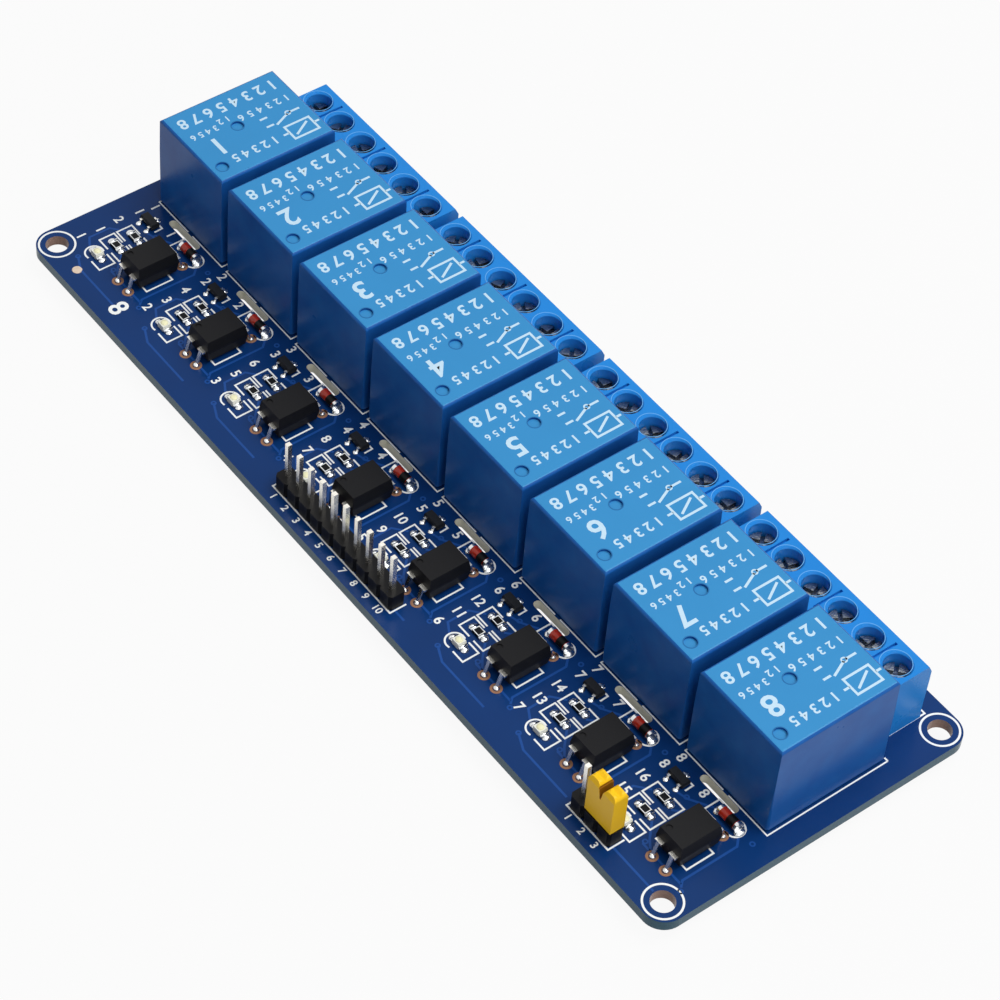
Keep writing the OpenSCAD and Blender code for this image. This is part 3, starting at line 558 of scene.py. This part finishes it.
def traces():
    """Copper tracks and small vias that show through the solder mask."""
    track_w, via_r, via_w = 0.32, 0.3, 0.22
    tracks = ([(-1.5, 7.3), (0.2, 5.65), (2.2, 5.65)],
              [(-1.6, 10.2), (0.3, 12.1), (2.2, 13.5)],
              [(-5.2, 7.3), (-6.9, 8.8), (-6.9, 12.1), (-5.2, 13.1)],
              [(-3.4, 5.1), (-1.6, 4.6), (1.2, 2.8)],
              [(5.9, 2.8), (7.2, 4.2), (7.2, 12.7), (7.9, 13.5)],
              [(0.3, 13.2), (7.5, 13.2)],
              [(-4.6, 15.4), (-2.2, 16.5), (6.4, 16.5)])
    vias = ((0.3, 12.8), (8.3, 13.9), (7.98, 2.45), (-1.9, 4.55), (-4.6, 15.4))
    copper = Piece("masked_traces", "trace", "solder_mask_board")
    for k in range(1, CHANNELS + 1):
        for track in tracks:
            copper.line([spot(k, a, d) for a, d in track], track_w, height=INK / 2)
        for via in vias:
            copper.ring(*spot(k, *via), via_r, via_w, steps=16)
    copper.done()


# Solder blobs: half length, half width, height
FILLETS = {"chip": (0.5, 0.62, 0.4), "diode": (0.6, 0.85, 0.5),
           "optocoupler": (0.48, 0.4, 0.4), "transistor": (0.42, 0.5, 0.22)}


def small_metal():
    """Solder fillets, pads and plated ends on the component side."""
    end_x, end_size, end_height = 0.84, (0.36, 1.29), 0.54      # a chip's plated end
    chip_foot, diode_foot = 1.25, 1.95
    lead_x, lead_depth = PIN_PITCH / 2, 4.42                    # an optocoupler's leads
    pad_r, pad_w = 0.65, 0.34
    metal = Piece("solder_fillets", "solder", "solder")
    pads = Piece("copper_pads", "pad", "solder")

    def fillet(kind, x, y):
        half_length, half_width, height = FILLETS[kind]
        metal.dome(x, y, half_length, half_width, BOARD_TOP, height)

    for k in range(1, CHANNELS + 1):
        for chip in (*RESISTORS, LED):
            x, y = spot(k, *chip)
            for side in (-1, 1):
                metal.box(x + side * end_x, y, *end_size, BOARD_TOP, end_height)
                fillet("chip", x + side * chip_foot, y)
        for side in (-1, 1):
            x, y = spot(k, *DIODE)
            fillet("diode", x + side * diode_foot, y)
            x, y = spot(k, *OPTOCOUPLER)
            for foot_y in (y + lead_depth, y - lead_depth):
                fillet("optocoupler", x + side * lead_x, foot_y)
                pads.ring(x + side * lead_x, foot_y, pad_r, pad_w, steps=24)
        for lead in TRANSISTOR_LEADS:
            fillet("transistor", *spot(k, *lead))
    metal.done(smooth=True)
    pads.done()


def aiming_mark():
    """The bare copper dot that a placing machine aims at."""
    x, y, r, height = -60.6, -22.6, 0.72, 0.05
    dot = Piece("aiming_mark", "mark", "solder")
    dot.dome(x, y, r, r, BOARD_TOP, height, sides=32)
    dot.done(smooth=True)


def well_rims():
    """A painted highlight: a thin pale ring round each screw well, where its chamfer catches
    the light.
    """
    painted_ring_w = 0.09
    painted_rings = Piece("well_rims", "rim", "terminal_blue")
    for b in range(1, BLOCKS + 1):
        x, _, top = middle(f"terminal_block_{b}")
        for side in (-1, 1):
            painted_rings.ring(x + side * WELL_X, WELL_Y, WELL_R, painted_ring_w, top, 48)
    painted_rings.done()


def led_lenses():
    """A low clear dome on each LED."""
    led_height, half_length, half_width, dome_height = 0.88, 0.55, 0.5, 0.2
    lens = Piece("led_lenses", "lens", "led_white")
    for k in range(1, CHANNELS + 1):
        lens.dome(*spot(k, *LED), half_length, half_width,
                  BOARD_TOP + led_height, dome_height)
    lens.done(smooth=True)


def diode_bands():
    """A dark ring round each diode, just proud of its glass."""
    start, length, proud = -0.05, 1.25, 0.015
    lo, hi = (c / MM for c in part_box("diodes"))
    radius, axis_z = (hi.z - lo.z) / 2 + proud, (lo.z + hi.z) / 2
    band = Piece("diode_bands", "band", "epoxy_black")
    for k in range(1, CHANNELS + 1):
        x, y = spot(k, *DIODE)
        for v in band.prism(bow(0, 0, radius, 0, 360, 24)[:-1], 0, length):
            v.co = Vector((x + start + v.co.z, y + v.co.x, axis_z + v.co.y))
    band.done()


def resistor_frames():
    """The pale line round the top of each chip resistor."""
    half_length, half_width, line_w, chip_height = 0.58, 0.5, 0.12, 0.5
    pale = Piece("resistor_frames", "silk", "resistor_ceramic")
    for k in range(1, CHANNELS + 1):
        for chip in RESISTORS:
            x, y = spot(k, *chip)
            corners = [(x + sx * half_length, y + sy * half_width)
                       for sx, sy in ((-1, -1), (1, -1), (1, 1), (-1, 1), (-1, -1))]
            pale.line(corners, line_w, BOARD_TOP + chip_height)
    pale.done()


traces()
board_print()
relay_print()
small_metal()
aiming_mark()
well_rims()
led_lenses()
diode_bands()
resistor_frames()


# ----------------------------------------------------------------- stage
FLOOR_R = 3         # half the floor's side, in metres
GLOW = 0.93         # share of the floor that stays white in shadow, as the camera sees it
SKY = 0.25          # what the sky gives as light
# Lamps: name, place and side in metres, watts. All aim at the part's middle.
LAMPS = (("key", (0.2, 0.24, 0.8), 0.7, 6.6), ("fill", (0.75, -0.15, 0.45), 0.5, 1.4))


def add_floor():
    """A pale floor that keeps the shadow and otherwise melts into the background."""
    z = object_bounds()[0].z
    mesh = bpy.data.meshes.new("floor")
    mesh.from_pydata([(sx * FLOOR_R, sy * FLOOR_R, z)
                      for sx, sy in ((-1, -1), (1, -1), (1, 1), (-1, 1))],
                     [], [(0, 1, 2, 3)])
    floor = bpy.data.objects.new("floor", mesh)
    bpy.context.scene.collection.objects.link(floor)
    s = Shader("floor", "bcbcbc", 0.9, scale=3, vary=0.01, bump=0)
    white = s.tree.nodes.new("ShaderNodeEmission")
    blend = s.tree.nodes.new("ShaderNodeMixShader")
    s.tree.links.new(s.math("MULTIPLY", seen(s.tree), GLOW), blend.inputs[0])
    s.tree.links.new(s.principled.outputs[0], blend.inputs[1])
    s.tree.links.new(white.outputs[0], blend.inputs[2])
    s.tree.links.new(blend.outputs[0], s.tree.nodes["Material Output"].inputs["Surface"])
    mesh.materials.append(s.material)


def add_sky():
    """White to the camera, and a weak light from all round."""
    world = bpy.data.worlds.new("world")
    bpy.context.scene.world = world
    world.use_nodes = True
    t = world.node_tree
    back = t.nodes["Background"]
    back.inputs["Color"].default_value = (1, 1, 1, 1)
    level = t.nodes.new("ShaderNodeMapRange")
    level.inputs["To Min"].default_value = SKY
    level.inputs["To Max"].default_value = 1
    t.links.new(seen(t), level.inputs["Value"])
    t.links.new(level.outputs["Result"], back.inputs["Strength"])


def add_lamps():
    """A large soft key lamp, and a fill lamp beyond relay 8."""
    for name, at, size, power in LAMPS:
        data = bpy.data.lights.new(name, "AREA")
        data.size = size
        data.energy = power
        lamp = bpy.data.objects.new(name, data)
        bpy.context.scene.collection.objects.link(lamp)
        lamp.location = at
        lamp.rotation_euler = (-Vector(at)).to_track_quat("-Z", "Y").to_euler()


add_floor()
add_sky()
add_lamps()
bpy.context.scene.view_settings.view_transform = "Standard"
